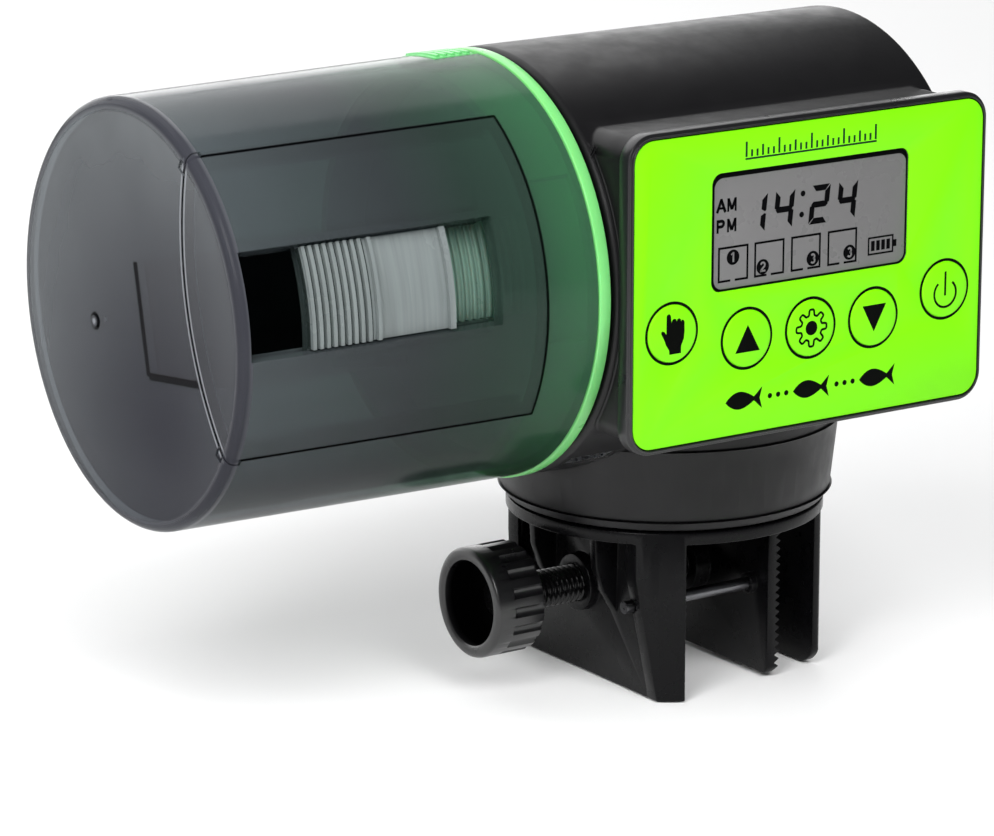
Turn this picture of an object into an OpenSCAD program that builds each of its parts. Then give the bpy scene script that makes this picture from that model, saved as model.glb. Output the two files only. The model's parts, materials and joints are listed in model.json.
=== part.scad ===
// Automatic fish feeder that clamps to the rim of an aquarium.
// A smoke-clear hopper drum turns on a motor housing with a clock panel.
// The housing swivels on a screw clamp that grips the tank's glass.
// Origin: on the swivel axis, in the plane where the tank's rim seats.
// +X runs along the drum's axis towards the housing, -Y is the panel's side.

/* [Drum] */
// Outer diameter of the drum at its closed end
drum_d = 66; // [60:0.5:70]
// Length of the clear barrel
drum_len = 62.3; // [60:0.1:66]
// Wall of the clear barrel
drum_wall = 1.6; // [1.4:0.1:1.8]
// How much the barrel's radius grows towards the collar
drum_draft = 0.7; // [0:0.1:0.8]
// Outer diameter of the green collar ring
collar_d = 68; // [66:0.5:72]

/* [Hopper door] */
// Angle of the door's middle above the front horizontal
door_mid = 13; // [10:1:16]
// Half of the angle that the door covers
door_half = 42.3; // [40:0.1:44]
// Length of the door
door_len = 53; // [48:0.5:53]
// How deep the door's end lip reaches into the end face
lip_depth = 15; // [12:0.5:16]

/* [Dosing window] */
// Lower edge of the window, as an angle above the front horizontal
win_low = -1.2; // [-2:0.1:0]
// Upper edge of the window
win_high = 27; // [25:0.5:28]
// Length of the window along the drum
win_len = 43.5; // [40:0.5:44]
// Length of the window that the slider leaves open
dose_gap = 10.7; // [6:0.1:16]
// Length of the slider
slider_len = 25; // [22:0.5:27]

/* [Housing] */
// Outer diameter of the motor housing
house_d = 68; // [66:0.5:72]
// Length of the motor housing
house_len = 69.3; // [69:0.1:72]
// Height of the drum's axis above the rim seat
axis_h = 44.6; // [44:0.1:48]
// Wall of the housing
house_wall = 2; // [1.6:0.1:2.2]

/* [Control panel] */
// Width of the panel
panel_w = 69.6; // [69:0.1:72]
// Height of the panel
panel_h = 50; // [48:0.5:52]
// Distance from the drum's axis to the panel's front
panel_y = 37.4; // [37:0.1:38]
// Width of the display opening
lcd_w = 38.4; // [36:0.1:39]
// Height of the display opening
lcd_h = 18.6; // [17:0.1:19]
// Diameter of each button
button_d = 9; // [8:0.1:9.4]
// How far a button travels
button_travel = 0.5; // [0.3:0.1:0.5]

/* [Gear train] */
// Module of the gears
gear_m = 0.6; // [0.6:0.05:0.6]
// Teeth on the gear that turns the drum
out_teeth = 48; // [46:1:48]
// Teeth on each large intermediate gear: first, then second
big_teeth = [40, 36];
// Teeth on each small gear
small_teeth = 12; // [12:1:13]

/* [Clamp] */
// Diameter of the clamp's top disc
disc_d = 52; // [50:0.5:53]
// Thickness of the clamp's top disc
disc_t = 2; // [1.8:0.1:2.2]
// Length of the clamp's walls below the rim seat
leg_len = 26; // [24:0.5:30]
// Gap between the moving jaw and the fixed jaw as stored
jaw_gap = 7.5; // [3:0.1:10]
// Diameter of the clamp screw
screw_d = 6.2; // [5:0.1:7]
// Diameter of the clamp knob
knob_d = 18; // [16:0.5:20]

/* [Hidden] */
$fn = 96;

// Shared small sizes
gap = 0.3;            // air between neighbours that move apart
fit = 0.05;           // radial clearance of a running fit
eps = 0.01;           // lets a cut pass a face
pilot_r = 0.9;        // hole for the thread of a small screw
shank_r = 0.85;       // thread of a small screw
green = [0.36, 0.82, 0.38];
lime = [0.56, 1.0, 0.08];
black = [0.13, 0.13, 0.14];
smoke = [0.36, 0.40, 0.42, 0.45];
steel = [0.72, 0.73, 0.75];
white = [0.92, 0.92, 0.88];

// Stations along X, from the closed end of the drum to the end cap
house_x0 = -34.1;
house_x1 = house_x0 + house_len;
ring_w = 2;
ring_x1 = house_x0 - 1;
ring_x0 = ring_x1 - ring_w;
barrel_x1 = ring_x0 - 0.2;
barrel_x0 = barrel_x1 - drum_len;
win_x0 = barrel_x0 + 1.6;
slider_x0 = win_x0 + dose_gap;

// Drum radii
drum_r = drum_d / 2;
bore_r = drum_r - drum_wall;
end_wall = 1.8;
collar_r = collar_d / 2;
sleeve_r = bore_r + 0.3;
sleeve_len = 10.9;
sleeve_x0 = ring_x1 - sleeve_len;
tongue_len = 18;
tongue_x0 = sleeve_x0 - tongue_len;
tab_mid = 97;
tab_half = 8;
tab_len = 7.4;
tab_x0 = ring_x0 - 0.6 - tab_len;
tab_r = 33.7;
web_x0 = ring_x0 - 1.5;
catch_x0 = tab_x0 + 1.8;
catch_len = web_x0 - gap - catch_x0;
flange_half = door_half + 2.2;
flange_r = bore_r - gap;
flange_t = 1;
rail_t = 1.1;
rail_play = 0.7;      // angle between a flange and the rail beside it
rail_wide = 1.5;      // angle that a rail covers beside its flange
rail_hold = 2.6;      // angle that a rail's lip reaches under its flange
round_r = 1.5;
lip_r = 50;

// Slider and its guides under the door
slide_r = 30.7;
slide_t = 1.1;
slide_side = 2.4;

// Housing
house_r = house_d / 2;
house_in = house_r - house_wall;
bulkhead_t = 1.5;
bulkhead_x = house_x0 + bulkhead_t;
turret_r = 27;
turret_gap = 0.4;
turret_z = disc_t + turret_gap;
turret_floor = 2.2;
pivot_r = 7;
washer_z = turret_z + turret_floor + gap;
washer_t = 1.2;
cap_t = 2;
cap_x = house_x1 - cap_t;

// Panel, measured from the drum's axis
panel_x = 0.6;
panel_z = axis_h + 1;
panel_t = 3;
film_t = 0.4;
film_y = panel_y - 0.2;
box_side = 1.2;
box_wall = 1.8;
lcd_x = 0.5;
lcd_z = axis_h + 9.3;
button_xz = [[-26.7, -5.2], [-12.4, -7.9], [0, -7.9], [12.4, -7.9], [26.7, -5.2]];
key_back = panel_t - panel_y + fit + 0.8;
key_flange_r = 5.2;
board_y = panel_y - 7;
board_t = 1.6;
board_w = 61;
board_h = 42;
bezel_screw_xz = [for (sx = [-1, 1], sz = [-1, 1]) [panel_x + sx * 31, panel_z + sz * 20.5]];
board_screw_xz = [for (sx = [-1, 1], sz = [-1, 1]) [panel_x + sx * 27, panel_z + 0.5 + sz * 18]];

// Battery compartment: two AA cells side by side along X
cell_r = 7.15;
cell_len = 50.5;
cell_y = 17;
cell_z = 7.7;
tray_x0 = -20.6;
cell_x0 = cap_x - cell_len;

// Gear train: x station and thickness of each gear, and the places of the shafts
first_pos = [-12.73, 12.73];
addendum = 0.8 * gear_m;
first_r = gear_m * (big_teeth[0] + small_teeth) / 2;
second_pos = [2.7, first_pos[1] + sqrt(pow(first_r, 2) - pow(2.7 - first_pos[0], 2))];
motor_r = gear_m * (big_teeth[1] + small_teeth) / 2;
motor_turn = 221.4;
motor_pos = second_pos + motor_r * [cos(motor_turn), sin(motor_turn)];
motor_can_r = 10;
motor_flat = 15.2;    // across the flats of the motor's can
motor_len = 26;
motor_screw_y = 6;
plate_x = -23.2;
plate_t = 1.6;
post_yz = [[20, 14], [-20, -12], [16, -18]];
pin_r = 1;
shaft_r = 2.5;
end_screw_yz = [[-10, 27.3], [-10, -27.3], [29.1, 0]];
socket_angle = -59;
socket_x = -27.6;

// Clamp
disc_r = disc_d / 2;
wall_x = [-16, -12.2];
fixed_x = 16;
fixed_t = 1.6;
jaw_tooth = 1;
jaw_t = 1.5;
jaw_x = fixed_x - jaw_gap - jaw_tooth - jaw_t;
jaw_half = 20.5;
jaw_top = -0.8;
tooth_pitch = 1.33;
tooth_count = 18;
screw_z = -10.8;
rod_y = 16;
rod_r = 1;
rod_x0 = -19.5;
knob_x = -38.7;
knob_len = 9;
neck_r = 2.5;
boss_t = 2;
boss_r = 4.7;
wing_reach = 2.6;     // how far a wing stands out from the screw-side wall

// ---------- Helpers ----------

// Puts children on a line along X; a child's +Z becomes +X
module on_axis(x, yz = [0, 0]) {
    translate([x, yz[0], axis_h + yz[1]]) rotate([0, 90, 0]) children();
}

module rod_x(x, len, r, yz = [0, 0]) {
    on_axis(x, yz) cylinder(h = len, r = r);
}

module tube_x(x, len, r_out, r_in, yz = [0, 0]) {
    on_axis(x, yz) difference() {
        cylinder(h = len, r = r_out);
        translate([0, 0, -1]) cylinder(h = len + 2, r = r_in);
    }
}

// Radius growth of the drafted barrel at station x
function grow(x) = drum_draft * (x - barrel_x0) / drum_len;

// Part of a tube around the drum's axis between two angles above the front horizontal
module arc_x(x, len, r_in, r_out, low, high, draft = 0) {
    d0 = draft * grow(x);
    d1 = draft * grow(x + len);
    on_axis(x) rotate([0, 0, -90 - high]) rotate_extrude(angle = high - low)
        polygon([[r_in, 0], [r_out + d0, 0], [r_out + d1, len], [r_in, len]]);
}

// Rectangle with round corners, standing in the XZ plane, extruded from y0 towards +Y
module plate_y(w, h, r, y0, t, x = panel_x, z = panel_z) {
    translate([x, y0 + t, z]) rotate([90, 0, 0]) linear_extrude(t) round_rect(w, h, r);
}

module round_rect(w, h, r) {
    square([w - 2 * r, h], center = true);
    square([w, h - 2 * r], center = true);
    for (sx = [-1, 1], sy = [-1, 1])
        translate([sx * (w / 2 - r), sy * (h / 2 - r)]) circle(r);
}

// Rod along Y from y0, at a place given in X and Z
module rod_y_at(xz, y0, len, r) {
    translate([xz[0], y0 + len, xz[1]]) rotate([90, 0, 0]) cylinder(h = len, r = r);
}

// Middle of key i, in X and Z
function key_xz(i) = [panel_x + button_xz[i][0], axis_h + button_xz[i][1]];

// Screw along X: head at x, shank running to x - len
module screw_x(x, len, r, head_r, head_t, yz) {
    rod_x(x, head_t, head_r, yz);
    rod_x(x - len, len + eps, r, yz);
}

// ---------- Involute gears ----------

pressure = 20;
mesh_slack = 0.14;

function inv(a) = tan(a) * 180 / PI - a;
function roll(rb, r) = acos(min(1, rb / r));

// Half of a tooth's angle at radius r
function half_tooth(n, r) =
    let (rp = gear_m * n / 2, rb = rp * cos(pressure))
    90 / n + inv(pressure) - inv(roll(rb, max(r, rb)))
    - (mesh_slack / 2) / r * 180 / PI;

module gear_2d(n, turn) {
    rp = gear_m * n / 2;
    root = rp - 1.15 * gear_m;
    tip = rp + addendum;
    start = max(root, rp * cos(pressure));
    rs = concat([root], [for (k = [0:3]) start + (tip - start) * k / 3]);
    polygon([for (t = [0:n - 1], side = [-1, 1], k = [0:len(rs) - 1])
        let (r = side < 0 ? rs[k] : rs[len(rs) - 1 - k],
             a = turn + t * 360 / n + side * half_tooth(n, r))
        r * [cos(a), sin(a)]]);
}

module gear_x(x, len, n, turn, yz, bore) {
    on_axis(x, yz) linear_extrude(len) difference() {
        gear_2d(n, turn);
        circle(bore);
    }
}

// Direction from one shaft to the next, in the gears' own plane
function heading(a, b) = atan2(b[0] - a[0], a[1] - b[1]);

// Turn of gear 2 that puts its gap where gear 1 has its tooth
function mesh_turn(n1, turn1, n2, dir) =
    dir + 180 - (0.5 - (dir - turn1) * n1 / 360) * 360 / n2;

first_turn = mesh_turn(out_teeth, 0, small_teeth, heading([0, 0], first_pos));
second_turn = mesh_turn(big_teeth[0], 0, small_teeth, heading(first_pos, second_pos));
pinion_turn = mesh_turn(big_teeth[1], 0, small_teeth, heading(second_pos, motor_pos));

// ---------- Clamp ----------

// Side view of the screw-side wall with its tapering wings
module wing_side() {
    polygon([[wall_x[1], eps], [wall_x[0] - wing_reach, eps], [wall_x[0] - wing_reach, -6],
             [wall_x[0], -leg_len], [wall_x[1], -leg_len]]);
}

module round_leg(x0, x1, half, r) {
    translate([x0, 0, -leg_len]) rotate([90, 0, 90]) linear_extrude(x1 - x0) {
        translate([-half, r]) square([2 * half, leg_len - r + eps]);
        translate([-half + r, 0]) square([2 * (half - r), r + eps]);
        for (s = [-1, 1]) translate([s * (half - r), r]) circle(r);
    }
}

module gusset(y) {
    translate([wall_x[0] + eps, y + 0.8, 0]) rotate([90, 0, 0]) linear_extrude(1.6)
        polygon([[0, eps], [-4.6, eps], [-4.2, -6], [-2.8, -10], [0, -14]]);
}

module clamp_bracket() {
    color(black) difference() {
        union() {
            cylinder(h = disc_t, r = disc_r);
            translate([0, 0, disc_t - eps]) cylinder(h = washer_z - disc_t + eps, r = pivot_r - fit);
            // Screw-side wall
            intersection() {
                round_leg(wall_x[0], wall_x[1], 22.5, 1.6);
                translate([0, 0, -leg_len]) cylinder(h = leg_len + 1, r = disc_r);
            }
            // Wings that follow the disc's rim
            intersection() {
                translate([0, 0, -leg_len]) difference() {
                    cylinder(h = leg_len + eps, r = disc_r);
                    translate([0, 0, -1]) cylinder(h = leg_len + 3, r = disc_r - 2);
                }
                translate([0, disc_r, 0]) rotate([90, 0, 0]) linear_extrude(disc_d) wing_side();
                translate([-disc_r, -disc_r, -leg_len]) cube([disc_r + wall_x[1], disc_d, leg_len + eps]);
            }
            for (y = [-8.6, 8.6]) gusset(y);
            // Fixed jaw
            intersection() {
                round_leg(fixed_x, fixed_x + fixed_t, 19.6, 4);
                translate([0, 0, -leg_len]) cylinder(h = leg_len + 1, r = disc_r);
            }
            // Boss round the screw's thread
            translate([wall_x[0] - boss_t, 0, screw_z]) rotate([0, 90, 0])
                cylinder(h = boss_t + 1, r = boss_r);
        }
        translate([wall_x[0] - boss_t - 1, 0, screw_z]) rotate([0, 90, 0])
            cylinder(h = boss_t + 8, r = screw_d / 2 + fit);
        // Bores of the guide rods, through the wings too
        for (s = [-1, 1]) translate([-disc_r, s * rod_y, screw_z]) rotate([0, 90, 0])
            cylinder(h = disc_r + wall_x[1] + 1, r = rod_r + fit);
        // Hole for the swivel screw
        translate([0, 0, 0.8]) cylinder(h = 8, r = 1.9);
    }
}

// Saw-toothed grip face, seen from the side
module jaw_side() {
    polygon(concat([[jaw_x, -leg_len + 0.6], [jaw_x, jaw_top], [jaw_x + jaw_t, jaw_top]],
        [for (k = [0:tooth_count - 1], p = [0, 1])
            [jaw_x + jaw_t + p * jaw_tooth, jaw_top - 0.3 - tooth_pitch * (k + p * 0.5)]],
        [[jaw_x + jaw_t, -leg_len + 0.6]]));
}

module clamp_jaw() {
    color(black) difference() {
        union() {
            intersection() {
                translate([0, jaw_half, 0]) rotate([90, 0, 0]) linear_extrude(2 * jaw_half) jaw_side();
                round_leg(jaw_x - 1, fixed_x, jaw_half, 2.5);
            }
            translate([jaw_x - 3, 0, screw_z]) rotate([0, 90, 0]) cylinder(h = 3 + eps, r = 5);
            for (s = [-1, 1]) translate([jaw_x - 1.2, s * rod_y, screw_z]) rotate([0, 90, 0])
                cylinder(h = 1.2 + eps, r = 1.7);
        }
        // Seat of the screw's neck, and the recess of its clip on the grip side
        translate([jaw_x - 4, 0, screw_z]) rotate([0, 90, 0]) cylinder(h = 10, r = neck_r + fit);
        translate([jaw_x + 0.9, 0, screw_z]) rotate([0, 90, 0]) cylinder(h = 5, r = 4.2);
        for (s = [-1, 1]) translate([jaw_x - 2, s * rod_y, screw_z]) rotate([0, 90, 0])
            cylinder(h = 3, r = rod_r);
    }
}

module guide_rods() {
    color(steel) for (s = [-1, 1]) translate([rod_x0, s * rod_y, screw_z]) rotate([0, 90, 0])
        cylinder(h = jaw_x + 1 - rod_x0, r = rod_r);
}

module clamp_screw() {
    thread_end = jaw_x - 3 - 0.1;
    color(black) difference() {
        translate([0, 0, screw_z]) rotate([0, 90, 0]) {
            translate([0, 0, knob_x + 5]) cylinder(h = thread_end - knob_x - 5, r = screw_d / 2);
            translate([0, 0, thread_end - eps]) cylinder(h = 5.4, r = neck_r);
        }
        // Groove for the clip
        translate([jaw_x + 1.1, 0, screw_z]) rotate([0, 90, 0]) difference() {
            cylinder(h = 0.7, r = 4);
            translate([0, 0, -1]) cylinder(h = 3, r = 2);
        }
    }
}

module screw_clip() {
    color(steel) translate([jaw_x + 1.2, 0, screw_z]) rotate([0, 90, 0]) linear_extrude(0.5) difference() {
        circle(3.6);
        circle(2);
        translate([0, -1.4]) square([5, 2.8]);
    }
}

module clamp_knob() {
    flutes = 18;
    flute_r = 1;
    collar_len = 3.2;
    cup_wall = 2.1;
    cup_depth = 5;
    color(black) translate([knob_x, 0, screw_z]) rotate([0, 90, 0]) difference() {
        cylinder(h = knob_len, r = knob_d / 2);
        translate([0, 0, -1]) cylinder(h = cup_depth + 1, r = knob_d / 2 - cup_wall);
        translate([0, 0, cup_depth - 1]) cylinder(h = knob_len, r = screw_d / 2);
        for (k = [0:flutes - 1]) rotate([0, 0, k * 360 / flutes])
            translate([knob_d / 2 + 0.4, 0, collar_len]) cylinder(h = knob_len, r = flute_r);
    }
}

module swivel_washer() {
    color(steel) translate([0, 0, washer_z]) difference() {
        cylinder(h = washer_t, r = 10);
        translate([0, 0, -1]) cylinder(h = 4, r = 2.1);
    }
}

module swivel_screw() {
    color(steel) difference() {
        union() {
            translate([0, 0, washer_z + washer_t]) cylinder(h = 2, r = 3.6);
            translate([0, 0, 1]) cylinder(h = washer_z + 1, r = 1.85);
        }
        translate([-2.4, -0.4, washer_z + washer_t + 1.2]) cube([4.8, 0.8, 2]);
        translate([-0.4, -2.4, washer_z + washer_t + 1.2]) cube([0.8, 4.8, 2]);
    }
}

// ---------- Housing ----------

// Places children with +Z pointing out of the drum's axis at an angle above the front
module radial(x, angle) {
    translate([x, 0, axis_h]) rotate([90 - angle, 0, 0]) children();
}

module box_plate(inset, y0, t) {
    plate_y(panel_w - 2 * (box_side + inset), panel_h - 2 * (box_side + inset), 3.6 - inset / 2, y0, t);
}

module turret() {
    cylinder(h = 1.6 + eps, r1 = turret_r - 0.9, r2 = turret_r);
    translate([0, 0, 1.6]) cylinder(h = 12, r1 = turret_r, r2 = turret_r + 1.3);
    translate([0, 0, 13.5]) cylinder(h = 10, r = turret_r + 1.3);
}

module housing_outline() {
    on_axis(house_x0) rotate_extrude() polygon([[0, 0], [house_r - 0.7, 0], [house_r, 0.7],
        [house_r, house_len - 0.7], [house_r - 0.7, house_len], [0, house_len]]);
    box_plate(0, panel_t - panel_y, panel_y - 12);
    translate([0, 0, turret_z]) turret();
}

module main_housing() {
    color(black) {
        difference() {
            union() {
                difference() {
                    housing_outline();
                    rod_x(bulkhead_x, house_len, house_in);
                    box_plate(box_wall, -panel_y, panel_y - 10);
                    translate([0, 0, turret_z + turret_floor]) cylinder(h = 22, r = turret_r - 2.5);
                }
                // Posts of the bezel's screws
                for (p = bezel_screw_xz) rod_y_at(p, panel_t - panel_y, 8, 2.6);
            }
            for (p = bezel_screw_xz) rod_y_at(p, panel_t - panel_y - 1, 8, pilot_r);
            cylinder(h = 12, r = pivot_r);
            rod_x(house_x0 - 3, 8, 4);
            rod_x(house_x0 - 1, 4, pin_r, first_pos);
            radial(socket_x, socket_angle) translate([-4, -1.6, 26]) cube([8, 3.2, 12]);
        }
        // Spigot that fills the groove behind the collar ring
        tube_x(ring_x1 - 1.2, 2.2 + eps, collar_r - 5, collar_r - 7);
        for (p = post_yz) tube_x(bulkhead_x - eps, plate_x - bulkhead_x + eps, 3, pilot_r, p);
        for (p = end_screw_yz) tube_x(cap_x - 9, 9, 3.1, pilot_r, p);
    }
}

module end_cap() {
    color(black) difference() {
        rod_x(cap_x, cap_t, house_in - 0.2);
        cell_window(gap, cap_x - 1, 5);
        for (p = end_screw_yz) {
            rod_x(cap_x - 1, 5, 1.2, p);
            rod_x(cap_x + 1, 5, 2.2, p);
        }
    }
}

// Outline of the battery opening, grown by g
module cell_window(g, x, t) {
    translate([x, cell_y, axis_h]) rotate([90, 0, 90]) linear_extrude(t)
        round_rect(16.2 + 2 * g, 31.6 + 2 * g, 2);
}

module end_cap_screws() {
    color(steel) for (p = end_screw_yz) difference() {
        screw_x(cap_x + 1, 8, shank_r, 2, 0.9, p);
        translate([cap_x + 1.4, p[0] - 1.4, axis_h + p[1] - 0.25]) cube([1, 2.8, 0.5]);
        translate([cap_x + 1.4, p[0] - 0.25, axis_h + p[1] - 1.4]) cube([1, 0.5, 2.8]);
    }
}

module power_socket() {
    color(steel) radial(socket_x, socket_angle) difference() {
        translate([-3.8, -1.4, 28]) cube([7.6, 2.8, 5.8]);
        translate([-3.4, -1, 28.6]) cube([6.8, 2, 6]);
    }
    color(black) radial(socket_x, socket_angle) translate([-2.6, -0.3, 28.2]) cube([5.2, 0.6, 4.4]);
}

// ---------- Control panel ----------

module front_bezel() {
    back = panel_t - panel_y;
    color(black) difference() {
        union() {
            plate_y(panel_w, panel_h, 4.4, back - 2.5, 2.5);
            plate_y(panel_w - 1, panel_h - 1, 3.9, back - panel_t, 1);
            // Spigot inside the box
            difference() {
                box_plate(box_wall + 0.2, back - eps, 2);
                box_plate(box_wall + 1.4, back - 1, 5);
                for (i = [0:4]) rod_y_at(key_xz(i), back - 1, 5, key_flange_r + gap);
            }
            for (p = board_screw_xz) rod_y_at(p, back - eps, -board_y - back, 2);
        }
        plate_y(panel_w - 1.6, panel_h - 1.6, 3.6, -panel_y - 1, 1.6);
        plate_y(lcd_w, lcd_h, 1.8, -panel_y - 1, 6, lcd_x, lcd_z);
        plate_y(41.6, 22, 1, back - 1.2, 5, lcd_x, lcd_z);
        for (i = [0:4]) rod_y_at(key_xz(i), -panel_y - 1, 6, button_d / 2 + gap);
        for (p = bezel_screw_xz) {
            rod_y_at(p, -panel_y - 1, 5, 1.1);
            rod_y_at(p, -panel_y - 1, 2.4, 2.2);
            rod_y_at(p, back, 5, 3.1);
        }
        for (p = board_screw_xz) rod_y_at(p, back + 0.6, 5, 0.8);
    }
}

module bezel_screws() {
    color(steel) for (p = bezel_screw_xz) {
        rod_y_at(p, -panel_y + 0.7, 0.7, 2);
        rod_y_at(p, -panel_y + 1.4 - eps, 6, shank_r);
    }
}

module faceplate() {
    color(lime) difference() {
        plate_y(panel_w - 2, panel_h - 2, 3.4, -film_y, film_t);
        plate_y(lcd_w, lcd_h, 1.8, -panel_y - 1, 6, lcd_x, lcd_z);
        for (i = [0:4]) rod_y_at(key_xz(i), -panel_y - 1, 6, button_d / 2 + gap);
    }
}

// Lens whose raised middle stands in the display opening
module lcd_glass() {
    color([0.53, 0.53, 0.52]) {
        plate_y(41, 21.4, 0.4, panel_t - panel_y - 1.2, 1.8, lcd_x, lcd_z);
        plate_y(lcd_w - 0.4, lcd_h - 0.4, 1.6, 0.7 - panel_y, 1.5, lcd_x, lcd_z);
    }
}

module lcd_holder() {
    front = panel_t - panel_y + 0.6;
    color(white) plate_y(42, 23, 0.6, front, -board_y - front, lcd_x, lcd_z);
}

module circuit_board() {
    color([0.1, 0.42, 0.2]) difference() {
        plate_y(board_w, board_h, 0.6, -board_y, board_t, panel_x, panel_z + 0.5);
        for (p = bezel_screw_xz) rod_y_at(p, -board_y - 1, 4, 3.1);
        for (p = board_screw_xz) rod_y_at(p, -board_y - 1, 4, 1);
    }
}

module board_screws() {
    color(steel) for (p = board_screw_xz) {
        rod_y_at(p, board_t - board_y, 1, 1.8);
        rod_y_at(p, board_t - board_y - 4.2, 4.2 + eps, 0.78);
    }
}

module key_switches() {
    plunger_y = key_back + button_travel + 0.15;
    color(black) for (i = [0:4]) {
        translate([key_xz(i)[0] - 3, -board_y - 2, key_xz(i)[1] - 3]) cube([6, 2, 6]);
        rod_y_at(key_xz(i), plunger_y, -board_y - 2 - plunger_y + eps, 1.6);
    }
}

module button(i) {
    color(lime) {
        rod_y_at(key_xz(i), -panel_y - 0.1, 3.2, button_d / 2);
        // Flange behind the bezel, trimmed where it would meet the box's wall
        intersection() {
            rod_y_at(key_xz(i), key_back - 0.8, 0.8, key_flange_r);
            box_plate(box_wall + gap, key_back - 2, 4);
        }
    }
}

module feed_button() { button(0); }
module up_button() { button(1); }
module set_button() { button(2); }
module down_button() { button(3); }
module power_button() { button(4); }

// ---------- Batteries ----------

module battery_tray() {
    color(black) difference() {
        translate([tray_x0, cell_y - 8.2, axis_h - 16.2]) cube([cap_x - tray_x0, 16.4, 32.4]);
        for (s = [-1, 1]) rod_x(tray_x0 + 1.2, 80, cell_r + 0.3, [cell_y, s * cell_z]);
        translate([tray_x0 + 1.2, cell_y - 4, axis_h - 4]) cube([80, 8, 8]);
    }
}

module battery_contacts() {
    color(steel) for (s = [-1, 1])
        translate([tray_x0 + 1.2, cell_y - 4.5, axis_h + s * cell_z - 4.5]) cube([0.3, 9, 9]);
}

module battery_springs() {
    wire = 0.32;
    turns = 3;
    x0 = tray_x0 + 1.5;
    pitch = (cell_x0 - x0 - 2 * wire) / (turns - 1);
    color(steel) for (s = [-1, 1]) on_axis(x0 + wire, [cell_y, s * cell_z]) {
        for (k = [0:turns - 1]) translate([0, 0, k * pitch]) rotate_extrude()
            translate([4.2 - k * 0.6, 0]) circle(wire);
        translate([3.5, 0, 0]) cylinder(h = cell_x0 - x0 - 2 * wire, r = 0.7);
    }
}

module battery_cells() {
    color([0.2, 0.35, 0.6]) for (s = [-1, 1]) {
        rod_x(cell_x0 + (s < 0 ? 1.5 : 0), cell_len - 1.5, cell_r, [cell_y, s * cell_z]);
        rod_x(s < 0 ? cell_x0 : cell_x0 + cell_len - 1.5 - eps, 1.5 + eps, 2.75, [cell_y, s * cell_z]);
    }
}

module battery_cover() {
    color(black) {
        cell_window(0, cap_x + 0.3, cap_t);
        for (k = [-3:3]) translate([cap_x + cap_t + 0.3 - eps, cell_y - 5, axis_h + k * 1.6 - 0.4])
            cube([0.5, 10, 0.8]);
    }
}

module cover_contact() {
    color(steel) translate([cap_x, cell_y - 5, axis_h - 13]) cube([0.3, 10, 26]);
}

// ---------- Motor and gears ----------

module gearbox_plate() {
    color([0.8, 0.8, 0.78]) difference() {
        rod_x(plate_x, plate_t, 27.5);
        rod_x(plate_x - 1, 4, shaft_r + fit);
        rod_x(plate_x - 1, 4, pin_r, first_pos);
        rod_x(plate_x - 1, 4, pin_r, second_pos);
        rod_x(plate_x - 1, 4, 3.2, motor_pos);
        for (p = post_yz) rod_x(plate_x - 1, 4, 1.2, p);
        for (s = [-1, 1]) rod_x(plate_x - 1, 4, pilot_r, motor_pos + [s * motor_screw_y, 0]);
    }
}

module gearbox_screws() {
    color(steel) for (p = post_yz) screw_x(plate_x + plate_t, 8, shank_r, 2, 1, p);
}

module gear_pins() {
    color(steel) {
        rod_x(house_x0 + 0.2, plate_x + plate_t - house_x0 - 0.2, pin_r, first_pos);
        rod_x(plate_x - 5.4, 5.4 + plate_t, pin_r, second_pos);
    }
}

module motor() {
    color(steel) difference() {
        union() {
            intersection() {
                rod_x(plate_x + plate_t, motor_len, motor_can_r, motor_pos);
                translate([plate_x, motor_pos[0] - 12, axis_h + motor_pos[1] - motor_flat / 2])
                    cube([40, 24, motor_flat]);
            }
            rod_x(plate_x + 0.2, 1.5, 3, motor_pos);
            rod_x(plate_x + plate_t + motor_len - eps, 1.6, 3, motor_pos);
        }
        rod_x(plate_x, 8, 1 + fit, motor_pos);
        for (s = [-1, 1]) rod_x(plate_x + 1, 5, shank_r, motor_pos + [s * motor_screw_y, 0]);
    }
}

module motor_screws() {
    color(steel) for (s = [-1, 1]) {
        rod_x(plate_x - 0.25, 0.25, 1.5, motor_pos + [s * motor_screw_y, 0]);
        rod_x(plate_x - 0.15, 4.5, 0.8, motor_pos + [s * motor_screw_y, 0]);
    }
}

module motor_shaft() {
    color(steel) rod_x(plate_x - 2.7, 9.7, 1, motor_pos);
}

module motor_pinion() {
    color(white) gear_x(plate_x - 2.7, 2.2, small_teeth, pinion_turn, motor_pos, 1);
}

module second_gear() {
    color(white) {
        gear_x(plate_x - 5.2, 2.71, small_teeth, second_turn, second_pos, pin_r + fit);
        gear_x(plate_x - 2.5, 1.8, big_teeth[1], 0, second_pos, pin_r + fit);
    }
}

module first_gear() {
    color(white) {
        gear_x(plate_x - 8.7, 3.71, small_teeth, first_turn, first_pos, pin_r + fit);
        gear_x(plate_x - 5, 2, big_teeth[0], 0, first_pos, pin_r + fit);
    }
}

module output_gear() {
    color(white) gear_x(plate_x - 8.6, 2.8, out_teeth, 0, [0, 0], shaft_r);
}

module drive_shaft() {
    color(steel) rod_x(sleeve_x0, plate_x + plate_t - gap - sleeve_x0, shaft_r);
}

module shaft_bush() {
    color([0.8, 0.65, 0.3]) tube_x(house_x0 - 0.9, bulkhead_t + 1.1, 4, shaft_r + fit);
}

// ---------- Drum ----------

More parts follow.
